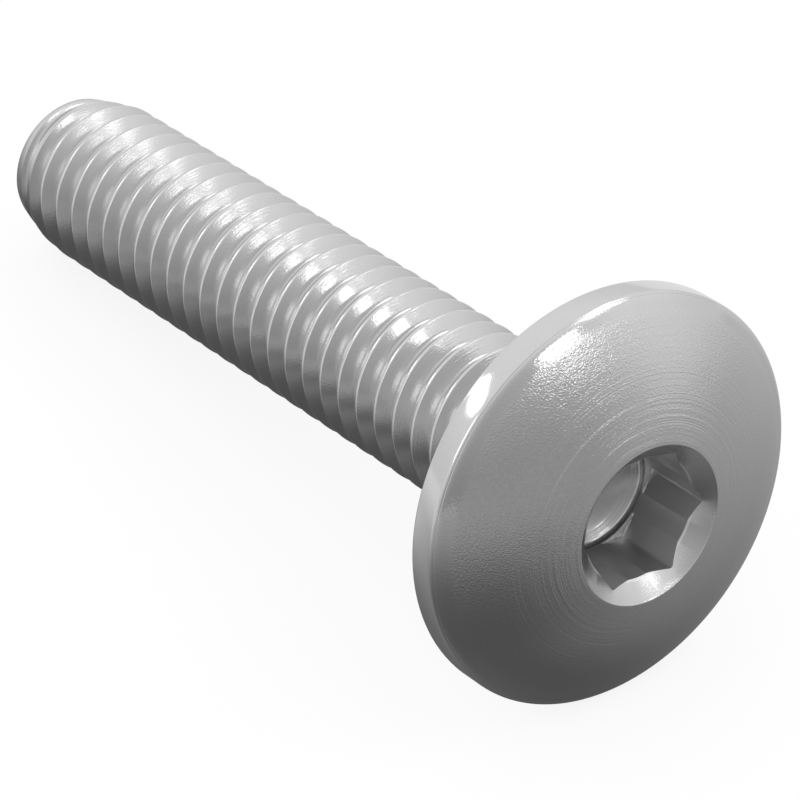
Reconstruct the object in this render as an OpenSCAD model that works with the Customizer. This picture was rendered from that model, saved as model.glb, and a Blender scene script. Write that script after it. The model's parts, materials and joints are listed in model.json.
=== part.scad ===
// Button head screw with a low dome, a hexagon socket and a right-hand metric thread.
// It is one turned and threaded piece, and it lies on the rim of its head and a crest near its tip.
// Millimetres. Z is up, Z = 0 is the surface it lies on, and its head points along +X.

/* [Head] */
// Diameter of the head
head_d = 14; // [11:0.1:18]
// Height of the head, from the bearing face to the edge of the socket's mouth
head_h = 2.9; // [2.5:0.05:4]
// Height of the straight rim, up to where the dome would meet it
rim_h = 0.96; // [0.6:0.02:1.4]
// Radius of the edge between the rim and the dome
dome_edge_r = 0.15; // [0.05:0.01:0.25]
// Radius of the edge between the rim and the bearing face
bearing_edge_r = 0.1; // [0.05:0.01:0.2]

/* [Socket] */
// Width across the flats of the hexagon, which takes a 4 mm key
socket_af = 4.1; // [3.4:0.05:4.3]
// Depth of the hexagon below the mouth
socket_depth = 2.8; // [1.8:0.05:2.9]
// Turn of the hexagon about the axis of the screw
socket_turn = 24; // [0:1:59]
// Diameter of the countersink at the mouth
mouth_d = 5.4; // [5.1:0.05:6.6]
// Full angle of the countersink
mouth_angle = 98; // [80:1:120]
// Diameter of the hole that was drilled before the hexagon was pressed in
drill_d = 4.16; // [3:0.02:4.3]
// Depth below the mouth at which the point of the drill begins
drill_depth = 3; // [2.9:0.05:3.2]
// Full angle of the point of the drill
drill_angle = 118; // [100:1:140]

/* [Thread] */
// Length of the screw below its head
shank_l = 30; // [8:0.5:60]
// Nominal size of the thread
thread_size = 6; // [5.8:0.1:8]
// Distance from one crest to the next
pitch = 1; // [0.7:0.05:1.2]
// How much smaller than the nominal size the crests measure across
crest_allowance = 0.14; // [0:0.01:0.2]
// Width of the flat on top of each crest
crest_w = 0.13; // [0.08:0.01:0.2]
// Angle about the axis at which a crest would run into the bearing face
thread_turn = 90; // [0:5:355]
// Length of the plain neck between the bearing face and the end of the thread
neck_l = 0.9; // [0.8:0.1:1.5]
// Length over which the thread runs out into the neck
runout_l = 1; // [0.5:0.1:2]
// How far outside the crests the fillet under the head meets the bearing face
fillet_clearance = 0.14; // [0.05:0.01:0.25]
// Length over which the crests fall away toward the tip
taper_l = 1.9; // [0.8:0.1:3]
// Diameter that the taper comes down to at the tip
tip_d = 5; // [4.8:0.05:5.4]
// Width of the broken edge around the flat end
tip_edge = 0.2; // [0.15:0.01:0.4]
// Facets around each turn of the thread
thread_sides = 24; // [16:4:32]

/* [Hidden] */
$fn = 96;

// Thread profile: the ratios are those of the metric profile with a rounded root.
// The neck is as thick as the rod that such a thread is rolled on.
flank_angle = 30;
root_ratio = 1.2269;
rod_ratio = 0.6495;
crest_r = (thread_size - crest_allowance) / 2;
root_r = (thread_size - root_ratio * pitch) / 2;
neck_r = (thread_size - rod_ratio * pitch) / 2;
flank_w = (crest_r - root_r) * tan(flank_angle);
root_w = pitch - crest_w - 2 * flank_w;
// Corners of one pitch of the profile, as [distance along the axis, radius]
pitch_profile = [
    [0, crest_r],
    [crest_w, crest_r],
    [crest_w + flank_w, root_r],
    [crest_w + flank_w + root_w, root_r]
];
corners = len(pitch_profile);

// Dome: a sphere centred on the axis, through the top of the rim and the edge of the mouth
head_r = head_d / 2;
mouth_r = mouth_d / 2;
dome_drop = (head_r ^ 2 - mouth_r ^ 2 + rim_h ^ 2 - head_h ^ 2) / (2 * (head_h - rim_h));
dome_r = norm([head_r, rim_h + dome_drop]);

// Angle about the axis at which the head's turned surfaces begin and end, off the side it lies on
seam_turn = 270;

// Centres of the rounded edges of the rim, in the plane of radius and height
dome_edge_x = head_r - dome_edge_r;
dome_edge_y = sqrt((dome_r - dome_edge_r) ^ 2 - dome_edge_x ^ 2) - dome_drop;
dome_edge_normal = [dome_edge_x, dome_edge_y + dome_drop] / (dome_r - dome_edge_r);
bearing_edge_x = head_r - bearing_edge_r;

// Tip: the taper passes the crests and goes on outward, clear of the thread
tip_r = tip_d / 2;
crest_clearance = 0.3;
taper_slope = taper_l / (crest_r - tip_r);
clear_r = crest_r + crest_clearance;
clear_z = taper_l + crest_clearance * taper_slope - shank_l;
tip_face_r = tip_r - tip_edge;

// Run-out: the crests come down to the neck over its length, and the roots come up to it.
// Both slopes go on past the neck's surface and past the roots by bury, so that no faces coincide.
bury = 0.3;
runout_z = -neck_l - runout_l;
crest_fall = (crest_r - neck_r) / runout_l;
root_rise = (neck_r - root_r) / runout_l;
fillet_x = crest_r + fillet_clearance;
fillet_r = fillet_x - neck_r;

// The threaded rod starts a turn below the tip and ends beside the bearing face, above the run-out
below_tip = ceil(shank_l / pitch) + 1;
turns = below_tip + 1;
rod_z = -below_tip * pitch - crest_w / 2 - pitch * thread_turn / 360;

// Lowest line: it touches the bearing edge of the rim and the crests under the shank.
// Each crest there is at an angle of 0 about the axis, and the least tilt is the one it lies at.
function taper_r(s) = min(crest_r, tip_r + (shank_l - s) / taper_slope);
function lying_tilt(s, r) =
    atan2(bearing_edge_x - r, s + bearing_edge_r)
    + asin(bearing_edge_r / norm([s + bearing_edge_r, bearing_edge_x - r]));
crest_s = [
    for (i = [1 : below_tip])
    let (s = (i - 1 + (thread_turn % 360) / 360) * pitch + crest_w / 2)
    if (s < shank_l - tip_edge) s
];
tilt = min([for (s = crest_s) lying_tilt(s, taper_r(s))]);

// Place of the bearing face's centre: the screw's box is centred on X = 0 and stands on Z = 0
front_x = mouth_r * sin(tilt) + head_h * cos(tilt);
back_x = -tip_r * sin(tilt) - shank_l * cos(tilt);
bearing_x = -(front_x + back_x) / 2;
bearing_z = bearing_edge_x * cos(tilt) - bearing_edge_r * sin(tilt) + bearing_edge_r;

// Outline of the head, with both edges of its rim rounded
module head_outline() {
    corner = 2 * dome_edge_r;
    difference() {
        intersection() {
            translate([0, -dome_drop]) circle(dome_r);
            square([head_r, dome_r]);
        }
        translate([dome_edge_x, dome_edge_y])
            polygon([[0, 0], [corner, 0], [corner, corner], corner * dome_edge_normal]);
        translate([bearing_edge_x, 0]) square(bearing_edge_r);
    }
    translate([dome_edge_x, dome_edge_y]) circle(dome_edge_r);
    translate([bearing_edge_x, bearing_edge_r]) circle(bearing_edge_r);
}

// Outline of the neck, from the cone that fills the roots to the fillet under the bearing face
module neck_outline() {
    inside_head = rim_h / 2;
    difference() {
        polygon([
            [0, runout_z - bury],
            [root_r - root_rise * bury, runout_z - bury],
            [neck_r, -neck_l],
            [neck_r, -fillet_r],
            [fillet_x, -fillet_r],
            [fillet_x, inside_head],
            [0, inside_head]
        ]);
        translate([fillet_x, -fillet_r]) circle(fillet_r);
    }
}

module head_blank() {
    rotate([0, 0, seam_turn]) rotate_extrude() union() {
        head_outline();
        neck_outline();
    }
}

// Hexagon, the drilled hole with its pointed end, and the countersink at the mouth
module socket() {
    above = 1;
    drill_z = head_h - drill_depth;
    point_h = drill_d / 2 / tan(drill_angle / 2);
    mouth_slope = tan(mouth_angle / 2);
    mouth_h = mouth_r / mouth_slope;
    translate([0, 0, head_h - socket_depth])
        rotate([0, 0, socket_turn])
        cylinder(h = socket_depth + above, d = socket_af / cos(30), $fn = 6);
    translate([0, 0, drill_z])
        cylinder(h = drill_depth + above, d = drill_d);
    translate([0, 0, drill_z - point_h])
        cylinder(h = point_h, r1 = 0, r2 = drill_d / 2);
    translate([0, 0, head_h - mouth_h])
        cylinder(h = mouth_h + above, r1 = 0, r2 = mouth_r + above * mouth_slope);
}

// One corner of the thread's profile, at facet j around the axis and corner m along it
function rod_point(j, m) =
    let (
        corner = pitch_profile[m % corners],
        angle = 360 * j / thread_sides,
        z = rod_z + pitch * (floor(m / corners) + j / thread_sides) + corner[0]
    )
    [corner[1] * cos(angle), corner[1] * sin(angle), z];

// Threaded rod as a grid of facets. A full turn ends one pitch up, so the first column has
// one pitch of corners more than the others, and each end is a helical step closed by a fan.
module threaded_rod() {
    last = corners * turns;
    column = last + 1;
    first_column = last + corners + 1;
    points = concat(
        [for (m = [0 : last + corners]) rod_point(0, m)],
        [for (j = [1 : thread_sides - 1], m = [0 : last]) rod_point(j, m)],
        [[0, 0, rod_z + pitch / 2], [0, 0, rod_z + pitch * (turns + 1 / 2)]]
    );
    bottom = len(points) - 2;
    top = len(points) - 1;
    function id(j, m) =
        j == 0 ? m :
        j == thread_sides ? m + corners :
        first_column + (j - 1) * column + m;
    function ring(m) = concat(
        [for (j = [0 : thread_sides]) id(j, m)],
        [for (i = [1 : corners - 1]) m + corners - i]
    );
    low = ring(0);
    high = ring(last);
    size = len(low);
    faces = concat(
        [for (j = [0 : thread_sides - 1], m = [0 : last - 1]) [id(j, m), id(j, m + 1), id(j + 1, m)]],
        [for (j = [0 : thread_sides - 1], m = [0 : last - 1]) [id(j + 1, m), id(j, m + 1), id(j + 1, m + 1)]],
        [for (i = [0 : size - 1]) [bottom, low[i], low[(i + 1) % size]]],
        [for (i = [0 : size - 1]) [top, high[(i + 1) % size], high[i]]]
    );
    polyhedron(points, faces, convexity = 10);
}

// Everything between the flat end of the tip and the run-out at the neck
module thread_envelope() {
    rotate_extrude() polygon([
        [0, -shank_l],
        [tip_face_r, -shank_l],
        [tip_r, tip_edge - shank_l],
        [clear_r, clear_z],
        [clear_r, -neck_l - (clear_r - neck_r) / crest_fall],
        [neck_r - bury * crest_fall, bury - neck_l],
        [0, bury - neck_l]
    ]);
}

module shank() {
    intersection() {
        threaded_rod();
        thread_envelope();
    }
}

// The screw lies down: its axis turns from Z to X, and stays higher at the head by the tilt
module screw() {
    color("silver")
        translate([bearing_x, 0, bearing_z])
        rotate([0, 90 - tilt, 0])
        difference() {
            union() {
                head_blank();
                shank();
            }
            socket();
        }
}

screw();
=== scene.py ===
"""Button head screw, lying on its side in a plain studio."""

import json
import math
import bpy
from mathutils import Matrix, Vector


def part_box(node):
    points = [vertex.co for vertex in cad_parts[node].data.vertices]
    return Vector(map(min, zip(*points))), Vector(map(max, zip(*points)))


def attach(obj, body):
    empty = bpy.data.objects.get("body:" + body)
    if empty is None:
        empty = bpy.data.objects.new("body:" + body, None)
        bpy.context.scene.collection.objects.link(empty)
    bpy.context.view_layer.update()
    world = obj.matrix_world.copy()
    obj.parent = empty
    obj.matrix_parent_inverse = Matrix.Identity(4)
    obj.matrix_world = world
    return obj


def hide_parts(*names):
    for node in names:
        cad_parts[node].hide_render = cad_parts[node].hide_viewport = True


bl_info = {
    "name": "Button Head Screw",
    "version": (1, 0, 0),
    "blender": (4, 5, 0),
    "location": "3D View > Sidebar > Screw",
    "description": "Builds a button head screw with a hexagon socket, and the studio that it lies in",
    "category": "Object",
}

from types import SimpleNamespace

import bpy
from mathutils import Matrix, Vector

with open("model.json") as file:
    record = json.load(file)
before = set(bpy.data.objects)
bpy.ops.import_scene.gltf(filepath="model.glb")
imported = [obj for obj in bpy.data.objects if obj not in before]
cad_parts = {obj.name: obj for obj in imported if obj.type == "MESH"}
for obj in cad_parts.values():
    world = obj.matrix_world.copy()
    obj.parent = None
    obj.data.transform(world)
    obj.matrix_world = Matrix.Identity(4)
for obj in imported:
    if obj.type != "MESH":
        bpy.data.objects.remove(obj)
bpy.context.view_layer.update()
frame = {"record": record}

# The screw is modelled upright in millimetres: Z is its axis, toward the head, Z = 0 is the bearing
# face, and X is the side that it lies on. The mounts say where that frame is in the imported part.
MM = 0.001
MOUNTS = {mount["name"]: mount for mount in frame["record"]["mounts"]}
AXIS = Vector(MOUNTS["key_socket"]["axis"]).normalized()
SOCKET_FLOOR = Vector(MOUNTS["key_socket"]["pos_m"])
BEARING_POINT = Vector(MOUNTS["bearing_face"]["pos_m"])
THREAD_MIDDLE = Vector(MOUNTS["thread"]["pos_m"])
CENTRE = SOCKET_FLOOR + AXIS * (BEARING_POINT - SOCKET_FLOOR).dot(AXIS)
LEAN = math.acos(AXIS.z)
LYING = Matrix.Translation(CENTRE) @ Matrix.Rotation(LEAN, 4, "Y") @ Matrix.Scale(MM, 4)

HEAD_D = (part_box("screw")[1].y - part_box("screw")[0].y) / MM
SOCKET_DEPTH = MOUNTS["key_socket"]["dims"]["length_mm"]
HEAD_H = (SOCKET_FLOOR - CENTRE).dot(AXIS) / MM + SOCKET_DEPTH
CREST_R = MOUNTS["thread"]["dims"]["r_mm"]
THREAD_L = MOUNTS["thread"]["dims"]["length_mm"]
SHANK_L = (CENTRE - THREAD_MIDDLE).dot(AXIS) / MM + THREAD_L / 2

# An M6 thread. The neck is as thick as the rod that such a thread is rolled on.
THREAD_SIZE = 6
PITCH = 1
ROD_RATIO = 0.6495
ROOT_RATIO = 1.2269
NECK_D = THREAD_SIZE - ROD_RATIO * PITCH
ROOT_D = THREAD_SIZE - ROOT_RATIO * PITCH

# How far the ends of crossing shapes go past each other, and how near two points are to be one
BURY = 0.3
CLOSE = 0.0005
ORIGIN = (0, 0, 0)
UP = (0, 0, 1)
QUARTER = math.pi / 2
HEXAGON = 6
SMOOTH_ANGLE = math.radians(32)

# How finely round shapes are divided: the sides of a turned solid, the steps in a turn of the thread,
# and the steps along each arc and rounded edge
TURNED_SIDES = 192
THREAD_STEPS = 96
FILLET_STEPS = 8
EDGE_STEPS = 6
DOME_STEPS = 46
MOUTH_STEPS = 5
ROOT_STEPS = 4
CREST_STEPS = 3
CORNER_STEPS = 4
PRESSED_STEPS = 2

# Distance along a turned surface: how much the height counts against the radius
TOOL_SLANT = 0.6
# Place along that distance from which the noise of the grooves is taken, to be unlike the rings
GROOVES_FROM = 20.0
# Depth of the grooves and height of the drill's rings, against the height of the tool's rings
GROOVE_DEPTH = 0.8
DRILL_RINGS = 5.0
# Height of the lines along the thread, against the height of the tool's rings
THREAD_LINES = 0.4
# Height of the grain on the thread and in the socket, and of the marks that the punch drew, against
# the height of the grain on the dome
FINE_GRAIN = 0.33
DRAWN_MARKS = 0.25
# How fast the noise of the drawn marks changes in X and Y, across the socket, and in Z, along it
DRAWN_SHAPE = (1, 1, 0.12)
# Lightness of the pressed steel, where 1 is the steel's own colour; above 1 it is painted light in
# the socket
PRESSED_SHADE = 1.12
# How much lighter the steel is in a pit, and in the drilled hole, where the lightening is painted
# light
PIT_LIGHT = 0.5
HOLE_LIGHT = 0.22
# Painted shade: how much darker the steel is made on the line round the edge of the rim, on the
# drill's point at the bottom of the hole and in the thread's roots
EDGE_LINE_SHADE = 0.1
POINT_DARK = 0.35
ROOT_DARK = 0.45
# How far the drill's point is from the pressed roughness toward the turned one, from 0 to 1
POINT_SMOOTH = 0.7
# How much rougher the thread is at the tip, against its roughness near the head
TIP_ROUGH = 0.3

# Each softbox by its azimuth, elevation, width and height, in degrees as seen from the screw, and
# their distance in metres
SOFTBOXES = {
    "key": (107, 37.5, 13, 4.5),
    "edge": (143, 47, 24, 14),
    "side": (-65, 28, 16, 8),
    "front": (5, 37, 30, 22),
}
LAMP_DISTANCE = 1.0
# Sides of the floor and of the glowing card with the painted shadow, and how far the card lies above
# the floor, in metres
FLOOR_SIZE = 6
CARD_SIZE = 1.6
CARD_LIFT = 0.05 * MM
# Width of the camera's sensor in millimetres, and how near it sees, in metres
SENSOR_WIDTH = 36
NEAREST_SEEN = 0.005

# Azimuth of the bright back of the sky
SKY_BACK = math.radians(-101)
# Middle, half length and offset of the painted shadow's dark line on the card under the screw, in
# millimetres
CARD_MIDDLE = 2
CARD_HALF = 19
CARD_OFFSET = -4
# How far the painted shadow's dark line swings to the back toward the head, and how far it returns in
# front of it
CARD_SWING = 2.6
CARD_RETURN = 5.1
# Azimuth of the corner of the card where the painted shadow gets lighter more slowly, in front of the
# head
CARD_CORNER = math.radians(30)


def length(name, description, millimetres):
    """A length property, given in millimetres and kept in metres."""
    return bpy.props.FloatProperty(
        name=name,
        description=description,
        default=millimetres * MM,
        min=0,
        precision=5,
        unit="LENGTH",
    )


def angle(name, description, degrees):
    """An angle property, given in degrees and kept in radians."""
    return bpy.props.FloatProperty(
        name=name, description=description, default=math.radians(degrees), unit="ROTATION"
    )


def plain(name, description, default, **options):
    """A number property without a unit."""
    return bpy.props.FloatProperty(
        name=name, description=description, default=default, min=0, **options
    )


class HeadSizes(bpy.types.PropertyGroup):
    """Sizes of the head and of the neck under it"""

    diameter: length("Diameter", "Diameter of the head", HEAD_D)
    height: length("Height", "From the bearing face to the mouth", HEAD_H)
    rim: length("Rim", "Height of the straight rim, up to where the dome would meet it", 0.96)
    dome_edge: length("Dome edge", "Radius of the edge between rim and dome", 0.12)
    shoulder: length("Shoulder", "Radius of the steeper band at the outside of the dome", 0.9)
    shoulder_angle: angle("Shoulder end", "Slope at which the shoulder passes into the edge", 40)
    bearing_edge: length("Bearing edge", "Radius of the edge between rim and bearing face", 0.1)
    neck: length("Neck", "Diameter of the plain neck", NECK_D)
    neck_length: length("Neck length", "From the bearing face to the end of the thread", 0.9)
    fillet_gap: length("Fillet gap", "How far outside the crests the fillet ends", 0.14)


class SocketSizes(bpy.types.PropertyGroup):
    """Sizes of the hexagon socket and the hole that it was pressed into"""

    flats: length("Across flats", "Width of the hexagon across its flats", 4.1)
    depth: length("Depth", "Depth of the hexagon below the mouth", SOCKET_DEPTH)
    corner: length("Corner", "Radius in the hexagon's corners", 0.08)
    turn: angle("Turn", "Turn of the hexagon about the screw's axis", 24)
    mouth: length("Mouth", "Diameter of the countersink at the mouth", 5.4)
    mouth_angle: angle("Countersink", "Full angle of the countersink", 98)
    mouth_edge: length("Mouth edge", "Radius of the edge around the mouth", 0.05)
    pressed_edge: length("Pressed edge", "Width of the round on the edges of the hexagon", 0.018)
    drill: length("Drill", "Diameter of the drilled hole", 4.16)
    drill_depth: length("Drill depth", "From the mouth to where the drill's point begins", 3)
    drill_angle: angle("Drill point", "Full angle of the drill's point", 118)
    drill_corner: length("Drill corner", "Radius of the corner that the drill left", 0.28)


class ThreadSizes(bpy.types.PropertyGroup):
    """Sizes of the thread and of the tip"""

    crest: length("Crests", "Diameter across the crests", 2 * CREST_R)
    pitch: length("Pitch", "From one crest to the next", PITCH)
    crest_width: length("Crest width", "Width of the flat on a crest", 0.1)
    crest_edge: length("Crest edge", "Radius of the edges of a crest", 0.035)
    flank: angle("Flank", "Angle of a flank to a plane across the screw", 30)
    root: length("Root", "Diameter at the bottom of the roots", ROOT_D)
    start: angle("Start", "Angle at which a crest would meet the bearing face", 90)
    runout: length("Run-out", "Length over which the thread runs out into the neck", 1)
    shank: length("Shank", "Length below the head", SHANK_L)
    taper: length("Taper", "Length over which the crests fall away to the tip", 1.9)
    tip: length("Tip", "Diameter that the taper comes down to", 5)
    tip_edge: length("Tip edge", "Width of the broken edge around the tip", 0.2)


class Finish(bpy.types.PropertyGroup):
    """Colour and surface of the steel"""

    steel: bpy.props.FloatVectorProperty(
        name="Steel",
        description="Colour that the bare steel mirrors light with",
        default=(0.58, 0.58, 0.58),
        subtype="COLOR",
        min=0,
        max=1,
    )
    turned_roughness: plain("Turned", "Roughness of the turned head", 0.07, max=1)
    rolled_roughness: plain("Rolled", "Roughness of the rolled thread", 0.17, max=1)
    pressed_roughness: plain("Pressed", "Roughness of the pressed socket", 0.42, max=1)
    grain_height: length("Grain", "Height of the fine grain of the skin", 0.011)
    ring_height: length("Rings", "Height of the rings that the turning tool left", 0.005)
    pit_depth: length("Pits", "Depth of the small round pits in the skin", 0.02)
    # The line round the edge of the rim is a groove of this depth, and is also painted darker as
    # shade
    edge_line_depth: length("Wear", "Depth of the worn line around the edge of the rim", 0.003)
    torn_height: length("Torn", "Height of the torn steel at the foot of the socket", 0.08)
    cone_roughness: plain("Countersink", "How much rougher the countersink is than the dome", 0.15)


class Studio(bpy.types.PropertyGroup):
    """The camera and the light"""

    azimuth: angle("Azimuth", "Azimuth of the camera", 53.216)
    elevation: angle("Elevation", "Elevation of the camera", 38.256)
    distance: length("Distance", "From the camera to the point it looks at", 136.258)
    lens: plain("Lens", "Focal length in millimetres", 196.563)
    target: bpy.props.FloatVectorProperty(
        name="Target",
        description="The point that the camera looks at",
        default=(0.008444, -0.003757, 0.00909),
        subtype="XYZ_LENGTH",
        precision=5,
    )
    key: plain("Key", "Radiance of the softbox that the dome mirrors", 4.8)
    edge: plain("Edge", "Radiance of the softbox that the edge of the dome mirrors", 1.8)
    side: plain("Side", "Radiance of the softbox that the rim mirrors", 2.0)
    front: plain("Front", "Radiance of the softbox that the edges of the thread mirror", 1.0)
    sky_top: plain("Sky", "Radiance of the sky high up in front of the screw", 0.535)
    sky_lift: plain("Sky lift", "How much brighter the sky is high up behind the screw", 0.545)
    sky_front: plain("Sky front", "Radiance of the sky low down in front of the screw", 0.37)
    sky_back: plain("Sky back", "Radiance of the sky low down behind the screw", 0.89)
    floor_shade: plain("Floor", "Share of the floor's white that the screw's shadow can darken", 0.14)
    # The card's radiances paint a reflection that only the metal sees; close to the screw it is the
    # screw's painted shadow
    card_dark: plain("Card, near", "Radiance of the grey card close to the screw", 0.12)
    card_front: plain("Card, front", "Radiance of the grey card far in front of the screw", 0.45)
    card_back: plain("Card, back", "Radiance of the grey card far behind the screw", 1.02)
    card_reach: plain("Card reach", "Millimetres over which the grey card gets lighter", 21.4)


def in_millimetres(group):
    """A property group's sizes and colours by name, with its lengths in millimetres."""
    values = {}
    for item in group.bl_rna.properties:
        if item.type == "FLOAT":
            value = getattr(group, item.identifier)
            values[item.identifier] = value / MM if item.unit == "LENGTH" else value
    return SimpleNamespace(**values)


def arc(centre, radius, first, last, steps):
    """Points along an arc from one angle to another, both ends included."""
    angles = [first + (last - first) * step / steps for step in range(steps + 1)]
    return [(centre[0] + radius * math.cos(a), centre[1] + radius * math.sin(a)) for a in angles]


def choose(piece):
    """Makes the piece active, and the only one that is selected."""
    bpy.ops.object.select_all(action="DESELECT")
    bpy.context.view_layer.objects.active = piece
    piece.select_set(True)


def bevel_edges(piece, edges, size, steps):
    """Rounds those edges of the piece, each given as a pair of vertices. It is left in edit mode."""
    choose(piece)
    bpy.ops.object.mode_set(mode="EDIT")
    bpy.ops.mesh.select_mode(type="EDGE")
    bpy.ops.mesh.select_all(action="DESELECT")
    bpy.ops.object.mode_set(mode="OBJECT")
    for edge in piece.data.edges:
        edge.select = edge.key in edges
    bpy.ops.object.mode_set(mode="EDIT")
    bpy.ops.mesh.bevel(offset=size, segments=steps, clamp_overlap=True)


def trace(name, outline):
    """A wire through the outline's points, each (radius, height). It is left in edit mode."""
    bpy.ops.object.select_all(action="DESELECT")
    bpy.ops.mesh.primitive_plane_add(size=1)
    wire = bpy.context.object
    wire.name = name
    bpy.ops.object.mode_set(mode="EDIT")
    bpy.ops.mesh.select_all(action="SELECT")
    bpy.ops.mesh.merge(type="CENTER")
    here = outline[0]
    bpy.ops.transform.translate(value=(here[0], 0, here[1]))
    for point in outline[1:]:
        step = (point[0] - here[0], 0, point[1] - here[1])
        bpy.ops.mesh.extrude_region_move(TRANSFORM_OT_translate={"value": step})
        here = point
    return wire


def close_up():
    """Merges the doubles of the mesh in edit mode, turns its faces outward and leaves edit mode."""
    bpy.ops.mesh.select_all(action="SELECT")
    bpy.ops.mesh.remove_doubles(threshold=CLOSE)
    bpy.ops.mesh.normals_make_consistent(inside=False)
    bpy.ops.object.mode_set(mode="OBJECT")


def turned(name, outline):
    """A solid turned about the axis, from an outline that begins and ends on it."""
    blank = trace(name, outline)
    bpy.ops.mesh.select_all(action="SELECT")
    bpy.ops.mesh.spin(steps=TURNED_SIDES, angle=2 * math.pi, center=ORIGIN, axis=UP)
    close_up()
    return blank


def apply_modifier(piece, kind, settings):
    """Adds a modifier to the piece and applies it."""
    choose(piece)
    bpy.ops.object.modifier_add(type=kind)
    modifier = piece.modifiers[-1]
    for setting, value in settings.items():
        setattr(modifier, setting, value)
    bpy.ops.object.modifier_apply(modifier=modifier.name)


def combine(piece, tool, operation):
    """Joins, trims or cuts the piece with another, which is used up. Faces keep their finishes."""
    settings = {
        "operation": operation,
        "solver": "MANIFOLD",
        "material_mode": "TRANSFER",
        "object": tool,
    }
    apply_modifier(piece, "BOOLEAN", settings)
    bpy.data.objects.remove(tool)


def neck_outline(head, thread):
    """From the cone that fills the roots, up the neck and round the fillet to the bearing face."""
    neck_r = head.neck / 2
    root_rise = (neck_r - thread.root / 2) / thread.runout
    buried_r = thread.root / 2 - root_rise * BURY
    buried_z = -head.neck_length - thread.runout - BURY
    fillet_x = thread.crest / 2 + head.fillet_gap
    fillet_r = fillet_x - neck_r
    cone = [(0, buried_z), (buried_r, buried_z), (neck_r, -head.neck_length)]
    return cone + arc((fillet_x, -fillet_r), fillet_r, math.pi, QUARTER, FILLET_STEPS)


def dome_outline(head, socket):
    """Round both edges of the rim and along the dome, which is part of a sphere, to the mouth."""
    head_r = head.diameter / 2
    mouth_r = socket.mouth / 2
    # The sphere's centre lies on the axis, this far below the bearing face
    drop = (head_r**2 - mouth_r**2 + head.rim**2 - head.height**2) / (2 * (head.height - head.rim))
    dome_r = math.hypot(head_r, head.rim + drop)
    bearing_edge = (head_r - head.bearing_edge, head.bearing_edge)
    # The edge passes into a shoulder, and the shoulder into the dome, each without a corner
    edge_x = head_r - head.dome_edge
    shoulder_x = edge_x - (head.shoulder - head.dome_edge) * math.cos(head.shoulder_angle)
    dome_start = math.acos(shoulder_x / (dome_r - head.shoulder))
    shoulder_y = (dome_r - head.shoulder) * math.sin(dome_start) - drop
    edge_y = shoulder_y + (head.shoulder - head.dome_edge) * math.sin(head.shoulder_angle)
    # The mouth's edge turns from the slope of the dome to the slope of the countersink
    mouth_angle = math.acos(mouth_r / dome_r)
    cone_angle = math.pi - socket.mouth_angle / 2
    edge_length = socket.mouth_edge * math.tan((cone_angle - mouth_angle) / 2)
    dome_end = mouth_angle - edge_length / dome_r
    mouth_x = (dome_r - socket.mouth_edge) * math.cos(dome_end)
    mouth_y = (dome_r - socket.mouth_edge) * math.sin(dome_end) - drop
    shoulder_centre = (shoulder_x, shoulder_y)
    return (
        arc(bearing_edge, head.bearing_edge, -QUARTER, 0, EDGE_STEPS)
        + arc((edge_x, edge_y), head.dome_edge, 0, head.shoulder_angle, EDGE_STEPS)
        + arc(shoulder_centre, head.shoulder, head.shoulder_angle, dome_start, EDGE_STEPS)[1:]
        + arc((0, -drop), dome_r, dome_start, dome_end, DOME_STEPS)[1:]
        + arc((mouth_x, mouth_y), socket.mouth_edge, dome_end, cone_angle, MOUTH_STEPS)[1:]
    )


def drilled_outline(head, socket):
    """From the foot of the countersink down the drilled hole and round its corner to the point."""
    drill_r = socket.drill / 2
    wall_top = head.height - (socket.mouth / 2 - drill_r) / math.tan(socket.mouth_angle / 2)
    wall_foot = head.height - socket.drill_depth
    point = wall_foot - drill_r / math.tan(socket.drill_angle / 2)
    corner = socket.drill_corner
    centre = (drill_r - corner, wall_foot + corner * math.tan(socket.drill_angle / 4))
    round_corner = arc(centre, corner, 0, -socket.drill_angle / 2, EDGE_STEPS)
    return [(drill_r, wall_top)] + round_corner + [(0, point)]


def head_blank(head, socket, thread):
    """The turned head with its neck, countersink and drilled hole."""
    outline = neck_outline(head, thread) + dome_outline(head, socket) + drilled_outline(head, socket)
    return turned("head_blank", outline)


def thread_profile(thread, crest_z):
    """One turn of the thread's profile, from the middle of a root over the crest to the next root."""
    lean = QUARTER - thread.flank
    crest_r = thread.crest / 2
    root_r = thread.root / 2
    half_pitch = thread.pitch / 2
    half_crest = thread.crest_width / 2
    # The root's radius, for an arc that touches both flanks and comes down to the root's diameter
    flank_reach = (half_pitch - half_crest) * math.cos(thread.flank)
    flank_sine = math.sin(thread.flank)
    root_radius = (flank_reach - (crest_r - root_r) * flank_sine) / (1 - flank_sine)
    edge = thread.crest_edge
    edge_z = half_crest - edge * math.tan(lean / 2)
    low_root = (root_r + root_radius, crest_z - half_pitch)
    low_edge = (crest_r - edge, crest_z - edge_z)
    high_edge = (crest_r - edge, crest_z + edge_z)
    high_root = (root_r + root_radius, crest_z + half_pitch)
    return (
        arc(low_root, root_radius, math.pi, math.pi - lean, ROOT_STEPS)
        + arc(low_edge, edge, -lean, 0, CREST_STEPS)
        + arc(high_edge, edge, 0, lean, CREST_STEPS)
        + arc(high_root, root_radius, math.pi + lean, math.pi, ROOT_STEPS)
    )


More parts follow.
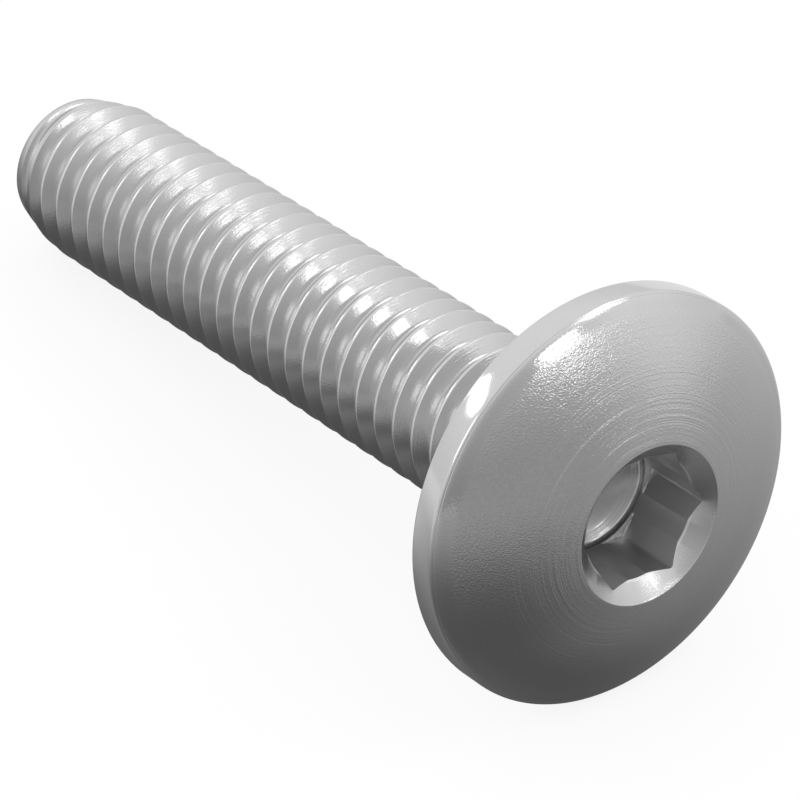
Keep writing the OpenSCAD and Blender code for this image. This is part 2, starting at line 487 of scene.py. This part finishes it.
def threaded_rod(thread):
    """A rod with the thread along it, from below the tip to inside the head."""
    below_tip = math.ceil(thread.shank / thread.pitch) + 1
    first_crest = -below_tip * thread.pitch - thread.pitch * thread.start / (2 * math.pi)
    rod = trace("threaded_rod", thread_profile(thread, first_crest))
    bpy.ops.object.mode_set(mode="OBJECT")
    helix = {
        "axis": "Z",
        "angle": 2 * math.pi,
        "screw_offset": thread.pitch,
        "iterations": below_tip + 1,
        "steps": THREAD_STEPS,
        "render_steps": THREAD_STEPS,
        "use_smooth_shade": False,
    }
    apply_modifier(rod, "SCREW", helix)
    bpy.ops.object.mode_set(mode="EDIT")
    bpy.ops.mesh.select_all(action="SELECT")
    bpy.ops.mesh.remove_doubles(threshold=CLOSE)
    low_end = (0, 0, -thread.shank - 2 * BURY)
    for point, outward in (ORIGIN, UP), (low_end, (0, 0, -1)):
        bpy.ops.mesh.select_all(action="SELECT")
        bpy.ops.mesh.bisect(
            plane_co=point, plane_no=outward, use_fill=True, clear_outer=True, threshold=CLOSE
        )
    close_up()
    return rod


def thread_envelope(head, thread):
    """Everything between the flat end of the tip and the run-out at the neck."""
    tip_r = thread.tip / 2
    neck_r = head.neck / 2
    clear = thread.crest / 2 + BURY
    taper_slope = thread.taper / (thread.crest / 2 - tip_r)
    crest_fall = (thread.crest / 2 - neck_r) / thread.runout
    outline = [
        (0, -thread.shank),
        (tip_r - thread.tip_edge, -thread.shank),
        (tip_r, thread.tip_edge - thread.shank),
        (clear, (clear - tip_r) * taper_slope - thread.shank),
        (clear, -head.neck_length - (clear - neck_r) / crest_fall),
        (neck_r - BURY * crest_fall, BURY - head.neck_length),
        (0, BURY - head.neck_length),
    ]
    return turned("thread_envelope", outline)


def hexagon_punch(head, socket):
    """The six-sided punch that presses the socket, with its upright edges rounded."""
    above = 1
    low = head.height - socket.depth
    high = head.height + above
    corner_r = socket.flats / 2 / math.cos(math.pi / HEXAGON)
    bpy.ops.object.select_all(action="DESELECT")
    bpy.ops.mesh.primitive_cylinder_add(
        vertices=HEXAGON,
        radius=corner_r,
        depth=high - low,
        location=(0, 0, (low + high) / 2),
        rotation=(0, 0, socket.turn - QUARTER),
    )
    punch = bpy.context.object
    punch.name = "hexagon_punch"
    bpy.ops.object.transform_apply()
    heights = [vertex.co.z for vertex in punch.data.vertices]
    upright = {
        edge.key
        for edge in punch.data.edges
        if abs(heights[edge.vertices[0]] - heights[edge.vertices[1]]) > CLOSE
    }
    bevel_edges(punch, upright, socket.corner, CORNER_STEPS)
    close_up()
    return punch


def round_socket_edges(screw, size):
    """Rounds the sharp edges where the pressed hexagon meets the turned surfaces."""
    pressed = screw.data.materials.find("pressed_steel")
    faces_at = {}
    for face in screw.data.polygons:
        for key in face.edge_keys:
            faces_at.setdefault(key, []).append(face)
    sharp = set()
    for key, (first, second) in faces_at.items():
        finishes = {first.material_index, second.material_index}
        turn = first.normal.angle(second.normal)
        if pressed in finishes and len(finishes) > 1 and turn > SMOOTH_ANGLE:
            sharp.add(key)
    bevel_edges(screw, sharp, size, PRESSED_STEPS)
    bpy.ops.object.mode_set(mode="OBJECT")


class Value:
    """A socket in a node tree. Arithmetic on it adds Math nodes, and node adds any other kind."""

    def __init__(self, tree, socket=None):
        self.tree = tree
        self.socket = socket

    def node(self, kind, settings=None, inputs=None, output=0):
        """Adds a node with its settings, links or sets its inputs, and returns one of its outputs."""
        made = self.tree.nodes.new(kind)
        for name, setting in (settings or {}).items():
            setattr(made, name, setting)
        for name, value in (inputs or {}).items():
            if isinstance(value, Value):
                self.tree.links.new(value.socket, made.inputs[name])
            else:
                made.inputs[name].default_value = value
        return Value(self.tree, made.outputs[output] if made.outputs else None)

    def math(self, operation, first, second=0.0):
        """Adds a Math node on one or two numbers or values."""
        return self.node("ShaderNodeMath", {"operation": operation}, {0: first, 1: second})

    def __add__(self, other):
        return self.math("ADD", self, other)

    def __radd__(self, other):
        return self.math("ADD", other, self)

    def __sub__(self, other):
        return self.math("SUBTRACT", self, other)

    def __rsub__(self, other):
        return self.math("SUBTRACT", other, self)

    def __mul__(self, other):
        return self.math("MULTIPLY", self, other)

    def __rmul__(self, other):
        return self.math("MULTIPLY", other, self)

    def __truediv__(self, other):
        return self.math("DIVIDE", self, other)

    def __rtruediv__(self, other):
        return self.math("DIVIDE", other, self)

    def __pow__(self, other):
        return self.math("POWER", self, other)

    def __rpow__(self, other):
        return self.math("POWER", other, self)


def rise(value, start, full):
    """A mask that rises smoothly from 0 at start to 1 at full, which may be the lower of the two."""
    ends = {"Value": value, "From Min": start, "From Max": full}
    return value.node("ShaderNodeMapRange", {"interpolation_type": "SMOOTHSTEP"}, ends)


def band(value, middle, half_width):
    """A mask that is 1 at the middle and falls smoothly to 0 at half its width away."""
    return rise(value.math("ABSOLUTE", value - middle), start=half_width, full=0.0)


def between(mask, off, on):
    """One number or value where a mask is 0, another where it is 1, and a mix between them."""
    return off + (on - off) * mask


def varied(noise, by):
    """Noise from 0 to 1, made to vary around 0 over a whole range of this much."""
    return by * (noise - 0.5)


def grain(place, per_mm, detail=2.0, stretch=(1, 1, 1)):
    """Noise from 0 to 1 on a place in millimetres, with so many grains to a millimetre."""
    scale = [per_mm * part for part in stretch]
    scaled = place.node("ShaderNodeVectorMath", {"operation": "MULTIPLY"}, {0: place, 1: scale})
    return place.node("ShaderNodeTexNoise", inputs={"Vector": scaled, "Scale": 1.0, "Detail": detail})


def lines(along, per_mm, detail=3.0):
    """Noise from 0 to 1 on a single distance in millimetres, so that it draws lines across it."""
    inputs = {"W": along * per_mm, "Scale": 1.0, "Detail": detail, "Roughness": 0.6}
    return along.node("ShaderNodeTexNoise", {"noise_dimensions": "1D"}, inputs)


def empty_tree(owner):
    """The emptied node tree of a material or a world, as a Value to add nodes with."""
    owner.use_nodes = True
    owner.node_tree.nodes.clear()
    return Value(owner.node_tree)


def place_on_screw(tree):
    """Where a point is in the screw's own upright frame, in millimetres."""
    at = tree.node("ShaderNodeTexCoord", output="Object")
    frame_of_screw = {"Vector": at, "Location": CENTRE, "Rotation": (0, LEAN, 0), "Scale": (MM,) * 3}
    return tree.node("ShaderNodeMapping", {"vector_type": "TEXTURE"}, frame_of_screw)


def radius_and_height(place):
    """How far a point is from the screw's axis, and how far above the bearing face."""
    flat = place.node("ShaderNodeVectorMath", {"operation": "MULTIPLY"}, {0: place, 1: (1, 1, 0)})
    radius = place.node("ShaderNodeVectorMath", {"operation": "LENGTH"}, {0: flat}, output="Value")
    height = place.node("ShaderNodeSeparateXYZ", inputs={"Vector": place}, output="Z")
    return radius, height


def raised(height, millimetres, under=None):
    """A Bump node that raises the surface by height times so many millimetres, on top of another."""
    inputs = {"Height": height, "Distance": millimetres * MM, "Strength": 1.0}
    if under:
        inputs["Normal"] = under
    return height.node("ShaderNodeBump", inputs=inputs)


def pits(place, per_mm, size, share):
    """1 in small round pits that are scattered so many to a millimetre, in a share of the cells."""
    cells = {"Vector": place, "Scale": per_mm, "Randomness": 1.0}
    distance = place.node("ShaderNodeTexVoronoi", inputs=cells, output="Distance")
    chance = place.node("ShaderNodeTexVoronoi", inputs=cells, output="Color")
    drawn = place.node("ShaderNodeSeparateColor", inputs={"Color": chance}, output="Red")
    chosen = place.math("GREATER_THAN", drawn, 1 - share)
    return rise(distance, start=size * per_mm, full=0.0) * chosen


def tinted(colour, amount):
    """A colour made lighter or darker by an amount around 1."""
    scale = {0: amount * colour[0], 1: amount * colour[1], 2: amount * colour[2]}
    return amount.node("ShaderNodeCombineColor", inputs=scale)


def metal(tree, colour, roughness, normal):
    """Ends a metal's node tree with its shader and output."""
    inputs = {"Metallic": 1.0, "Base Color": colour, "Roughness": roughness, "Normal": normal}
    shader = tree.node("ShaderNodeBsdfPrincipled", inputs=inputs)
    tree.node("ShaderNodeOutputMaterial", inputs={"Surface": shader})


def turned_steel(head, socket, finish):
    """Bright steel with the fine grain of its skin and the rings that the turning tool left."""
    material = bpy.data.materials.new("turned_steel")
    tree = empty_tree(material)
    place = place_on_screw(tree)
    radius, height = radius_and_height(place)
    head_r = head.diameter / 2
    mouth_r = socket.mouth / 2
    drill_r = socket.drill / 2
    floor = head.height - socket.depth

    # Where each part of the head is, with a soft border, in millimetres
    on_dome = rise(radius, start=mouth_r - 0.05, full=mouth_r + 0.05)
    near_mouth = rise(radius, start=mouth_r + 3.1, full=mouth_r + 0.7)
    on_shoulder = rise(radius, start=head_r - 0.65, full=head_r - 0.4)
    above_rim = rise(height, start=head.rim - 0.06, full=head.rim + 0.14)
    on_edge = band(radius, middle=head_r - 0.075, half_width=0.02)
    on_edge = on_edge * rise(height, start=head.rim - 0.06, full=head.rim + 0.04)
    in_mouth = rise(radius, start=mouth_r, full=mouth_r - 0.06)
    in_mouth = in_mouth * rise(height, start=head.height - 1.4, full=head.height - 1.3)
    in_hole = rise(radius, start=drill_r + 0.08, full=drill_r + 0.04)
    on_point = in_hole * rise(height, start=floor - 0.02, full=floor - 0.06)

    # The tool's rings and grooves come in patches, and the drill left coarser rings on its point
    along = radius - TOOL_SLANT * height
    patches = grain(place, per_mm=0.5)
    grooves = rise(lines(along + GROOVES_FROM, per_mm=5.0, detail=4.0), start=0.55, full=0.64)
    rings = lines(along, per_mm=7.0) * between(near_mouth, off=0.5, on=2.0)
    rings = rings - GROOVE_DEPTH * grooves * near_mouth
    rings = rings * between(rise(patches, start=0.3, full=0.6), off=0.3, on=1.3) * on_dome
    drill_rings = lines(along, per_mm=10.0) * band(radius, middle=drill_r - 0.18, half_width=0.3)
    rings = rings + DRILL_RINGS * drill_rings * on_point

    # The skin's grain is highest on the dome, and lower in the mouth, on the rim and on the shoulder
    skin = grain(place, per_mm=17.0) * between(on_dome, off=0.3, on=1.0)
    skin = skin * between(above_rim, off=0.5, on=1.0) * between(on_shoulder, off=1.0, on=0.25)
    marks = pits(place, per_mm=1.1, size=0.045, share=0.4)
    normal = raised(rings, finish.ring_height)
    normal = raised(skin, finish.grain_height, normal)
    normal = raised(marks, -finish.pit_depth, normal)
    normal = raised(on_edge, -finish.edge_line_depth, normal)

    # Painted shade darkens the steel inside the mouth, and the patches vary its tone at random
    shade = between(on_dome, off=0.93, on=1.0) + varied(patches, by=0.06)
    shade = shade + varied(grain(place, per_mm=23.0), by=0.16) * on_dome
    # The pits are lighter, and the line round the edge of the rim is darker, as painted shade in its
    # groove
    shade = shade + PIT_LIGHT * marks - EDGE_LINE_SHADE * on_edge
    # Painted light lifts the drilled hole's walls, and painted shade darkens the drill's point at its
    # bottom
    shade = shade + HOLE_LIGHT * in_hole - POINT_DARK * on_point
    roughness = finish.turned_roughness * (1.0 + varied(grain(place, per_mm=1.3), by=0.4))
    roughness = roughness + finish.cone_roughness * in_mouth
    rough = in_hole - POINT_SMOOTH * on_point
    roughness = between(rough, off=roughness, on=finish.pressed_roughness)
    metal(tree, tinted(finish.steel, shade), roughness, normal)
    return material


def rolled_steel(thread, finish):
    """The smoother steel of the rolled thread, with faint lines along its flanks."""
    material = bpy.data.materials.new("rolled_steel")
    tree = empty_tree(material)
    place = place_on_screw(tree)
    radius, height = radius_and_height(place)
    root_r = thread.root / 2
    in_root = rise(radius, start=root_r + 0.0935, full=root_r + 0.0235)
    to_tip = rise(height, start=-6.0, full=2.0 - thread.shank)
    along = radius - TOOL_SLANT * height
    normal = raised(lines(along, per_mm=12.0), THREAD_LINES * finish.ring_height)
    normal = raised(grain(place, per_mm=14.0), FINE_GRAIN * finish.grain_height, normal)
    # Painted shade darkens the thread's roots
    shade = 1.0 + varied(grain(place, per_mm=0.6), by=0.06) - ROOT_DARK * in_root
    roughness = 1.0 + varied(grain(place, per_mm=1.3), by=0.3) + TIP_ROUGH * to_tip
    metal(tree, tinted(finish.steel, shade), finish.rolled_roughness * roughness, normal)
    return material


def pressed_steel(head, socket, finish):
    """The steel of the pressed socket, with the marks that the punch drew along its walls."""
    material = bpy.data.materials.new("pressed_steel")
    tree = empty_tree(material)
    place = place_on_screw(tree)
    height = radius_and_height(place)[1]
    floor = head.height - socket.depth
    at_floor = rise(height, start=floor + 0.1, full=floor + 0.02)
    drawn = grain(place, per_mm=8.0, stretch=DRAWN_SHAPE)
    normal = raised(drawn, DRAWN_MARKS * finish.grain_height)
    normal = raised(grain(place, per_mm=12.0), FINE_GRAIN * finish.grain_height, normal)
    normal = raised(grain(place, per_mm=5.0) * at_floor, finish.torn_height, normal)
    # The pressed steel is painted lighter than the steel's own colour, as painted light in the socket
    shade = PRESSED_SHADE + varied(grain(place, per_mm=0.9), by=0.1)
    roughness = finish.pressed_roughness * (1.0 + varied(grain(place, per_mm=2.0), by=0.4))
    metal(tree, tinted(finish.steel, shade), roughness, normal)
    return material


class SCREW_OT_build_screw(bpy.types.Operator):
    """Turn the head, roll the thread and press the socket"""

    bl_idname = "screw.build_screw"
    bl_label = "Build Screw"

    def execute(self, context):
        head = in_millimetres(context.scene.screw_head)
        socket = in_millimetres(context.scene.screw_socket)
        thread = in_millimetres(context.scene.screw_thread)
        finish = in_millimetres(context.scene.screw_finish)
        shank = threaded_rod(thread)
        envelope = thread_envelope(head, thread)
        screw = head_blank(head, socket, thread)
        punch = hexagon_punch(head, socket)
        turned_finish = turned_steel(head, socket, finish)
        shank.data.materials.append(rolled_steel(thread, finish))
        envelope.data.materials.append(turned_finish)
        screw.data.materials.append(turned_finish)
        punch.data.materials.append(pressed_steel(head, socket, finish))
        combine(shank, envelope, "INTERSECT")
        combine(screw, shank, "UNION")
        combine(screw, punch, "DIFFERENCE")
        if socket.pressed_edge:
            round_socket_edges(screw, socket.pressed_edge)
        screw.name = "finished_screw"
        screw.matrix_world = LYING
        bpy.ops.object.transform_apply()
        bpy.ops.object.shade_smooth_by_angle(angle=SMOOTH_ANGLE)
        apply_modifier(screw, "WEIGHTED_NORMAL", {"keep_sharp": True})
        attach(screw, "root")
        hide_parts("screw")
        return {"FINISHED"}


def direction(azimuth, elevation):
    """The way from the screw to a place at an azimuth and elevation, as the views are named."""
    flat = math.cos(elevation)
    return Vector((math.sin(azimuth) * flat, -math.cos(azimuth) * flat, math.sin(elevation)))


def add_camera(studio):
    """The camera, at the photograph's viewing angle."""
    camera = bpy.data.objects.new("camera", bpy.data.cameras.new("camera"))
    bpy.context.scene.collection.objects.link(camera)
    camera.data.lens = studio.lens
    camera.data.sensor_width = SENSOR_WIDTH
    camera.data.clip_start = NEAREST_SEEN
    towards = direction(studio.azimuth, studio.elevation)
    camera.location = Vector(studio.target) + towards * studio.distance
    camera.rotation_euler = towards.to_track_quat("Z", "Y").to_euler()
    bpy.context.scene.camera = camera


def add_softbox(name, angles, radiance):
    """An area lamp that fills so wide and so high an angle, seen from the head, and faces it."""
    azimuth, elevation, wide, high = (math.radians(degrees) for degrees in angles)
    width = 2 * LAMP_DISTANCE * math.tan(wide / 2)
    height = 2 * LAMP_DISTANCE * math.tan(high / 2)
    lamp = bpy.data.lights.new(name, "AREA")
    lamp.shape = "RECTANGLE"
    lamp.size = width
    lamp.size_y = height
    lamp.energy = radiance * math.pi * width * height
    holder = bpy.data.objects.new(name, lamp)
    bpy.context.scene.collection.objects.link(holder)
    towards = direction(azimuth, elevation)
    holder.location = CENTRE + towards * LAMP_DISTANCE
    holder.rotation_euler = towards.to_track_quat("Z", "Y").to_euler()


def stage_plane(name, size, height):
    """A flat square of the stage, with an emptied material."""
    bpy.ops.object.select_all(action="DESELECT")
    bpy.ops.mesh.primitive_plane_add(size=size, location=(0, 0, height))
    plane = bpy.context.object
    plane.name = name
    bpy.ops.object.transform_apply()
    plane.data.materials.append(bpy.data.materials.new(name))
    return plane, empty_tree(plane.data.materials[0])


def add_floor(studio):
    """A pale floor that shows white and keeps the screw's shadow."""
    tree = stage_plane("floor", FLOOR_SIZE, 0)[1]
    seen = tree.node("ShaderNodeLightPath", output="Is Camera Ray")
    mirrored = tree.node("ShaderNodeLightPath", output="Is Glossy Ray")
    through = tree.node("ShaderNodeLightPath", output="Is Transmission Ray")
    glow = (seen + mirrored + through) * (1 - studio.floor_shade)
    matt = tree.node("ShaderNodeBsdfDiffuse", inputs={"Color": (studio.floor_shade,) * 3 + (1,)})
    lit = tree.node("ShaderNodeEmission", inputs={"Color": (1, 1, 1, 1), "Strength": glow})
    both = tree.node("ShaderNodeAddShader", inputs={0: matt, 1: lit})
    tree.node("ShaderNodeOutputMaterial", inputs={"Surface": both})


def add_painted_shadow_card(studio):
    """A glowing card on the floor that only the metal mirrors, a painted reflection with the screw's
    painted shadow: dark by the screw, lighter to the back.
    """
    card, tree = stage_plane("painted_shadow_card", CARD_SIZE, CARD_LIFT)
    card.visible_camera = False
    card.visible_diffuse = False
    card.visible_transmission = False
    card.visible_volume_scatter = False
    card.visible_shadow = False
    at = tree.node("ShaderNodeTexCoord", output="Object")
    x = tree.node("ShaderNodeSeparateXYZ", inputs={"Vector": at}, output="X") / MM
    y = tree.node("ShaderNodeSeparateXYZ", inputs={"Vector": at}, output="Y") / MM
    # The painted shadow follows the distance from its dark line, which bends toward the head
    swing = CARD_SWING * rise(x, start=6.0, full=14.0) - CARD_RETURN * rise(x, start=15.0, full=19.5)
    beyond_ends = tree.math("MAXIMUM", tree.math("ABSOLUTE", x - CARD_MIDDLE) - CARD_HALF, 0.0)
    distance_squared = beyond_ends**2.0 + (y - CARD_OFFSET - swing) ** 2.0
    corner = direction(CARD_CORNER, 0)
    in_corner = rise(x * corner.x + y * corner.y, start=13.5, full=23.2)
    reach = studio.card_reach * between(in_corner, off=0.46, on=1.0)
    away = distance_squared / (distance_squared + reach**2.0)
    # From 1 straight in front of the head to -1 straight behind the tip
    ahead = x / tree.math("SQRT", x**2.0 + y**2.0)
    far = between(rise(ahead, start=1.1, full=-0.4), off=studio.card_front, on=studio.card_back)
    shade = between(away, off=studio.card_dark, on=far)
    lit = tree.node("ShaderNodeEmission", inputs={"Color": (1, 1, 1, 1), "Strength": shade})
    tree.node("ShaderNodeOutputMaterial", inputs={"Surface": lit})


def add_sky(studio):
    """A soft sky: bright above and behind the screw, and grey low down in front of it."""
    world = bpy.data.worlds.new("studio")
    bpy.context.scene.world = world
    tree = empty_tree(world)
    way = tree.node("ShaderNodeTexCoord", output="Generated")
    x = tree.node("ShaderNodeSeparateXYZ", inputs={"Vector": way}, output="X")
    y = tree.node("ShaderNodeSeparateXYZ", inputs={"Vector": way}, output="Y")
    z = tree.node("ShaderNodeSeparateXYZ", inputs={"Vector": way}, output="Z")
    # From -1 straight in front of the screw to 1 straight behind it
    towards = direction(SKY_BACK, 0)
    back = rise(x * towards.x + y * towards.y, start=-0.95, full=-0.445)
    low = between(back, off=studio.sky_front, on=studio.sky_back)
    high = studio.sky_top + studio.sky_lift * back
    bright = between(rise(z, start=0.0, full=0.55), off=low, on=high)
    light = tree.node("ShaderNodeBackground", inputs={"Color": (1, 1, 1, 1), "Strength": bright})
    tree.node("ShaderNodeOutputWorld", inputs={"Surface": light})


class SCREW_OT_build_studio(bpy.types.Operator):
    """Add the floor, the light and the camera"""

    bl_idname = "screw.build_studio"
    bl_label = "Build Studio"

    def execute(self, context):
        bpy.context.scene.view_settings.view_transform = "Standard"
        studio = context.scene.screw_studio
        add_camera(studio)
        add_floor(studio)
        add_painted_shadow_card(studio)
        add_sky(studio)
        for name, angles in SOFTBOXES.items():
            add_softbox(name + "_softbox", angles, getattr(studio, name))
        return {"FINISHED"}


class SCREW_PT_sidebar(bpy.types.Panel):
    """The screw's sizes and finishes, and the buttons that build it"""

    bl_idname = "SCREW_PT_sidebar"
    bl_label = "Button Head Screw"
    bl_space_type = "VIEW_3D"
    bl_region_type = "UI"
    bl_category = "Screw"

    def draw(self, context):
        for title, group, button in SECTIONS:
            box = self.layout.box()
            box.label(text=title)
            settings = getattr(context.scene, group)
            for item in type(settings).__annotations__:
                box.prop(settings, item)
            if button:
                box.operator(button)


CLASSES = (
    HeadSizes,
    SocketSizes,
    ThreadSizes,
    Finish,
    Studio,
    SCREW_OT_build_screw,
    SCREW_OT_build_studio,
    SCREW_PT_sidebar,
)
GROUPS = {
    "screw_head": HeadSizes,
    "screw_socket": SocketSizes,
    "screw_thread": ThreadSizes,
    "screw_finish": Finish,
    "screw_studio": Studio,
}
SECTIONS = (
    ("Head", "screw_head", None),
    ("Socket", "screw_socket", None),
    ("Thread", "screw_thread", None),
    ("Finish", "screw_finish", "screw.build_screw"),
    ("Studio", "screw_studio", "screw.build_studio"),
)


def register():
    for item in CLASSES:
        bpy.utils.register_class(item)
    for name, group in GROUPS.items():
        setattr(bpy.types.Scene, name, bpy.props.PointerProperty(type=group))


def unregister():
    for name in GROUPS:
        delattr(bpy.types.Scene, name)
    for item in reversed(CLASSES):
        bpy.utils.unregister_class(item)


def main():
    """Builds the screw and the studio."""
    register()
    bpy.ops.screw.build_screw()
    bpy.ops.screw.build_studio()


if __name__ == "__main__":
    main()
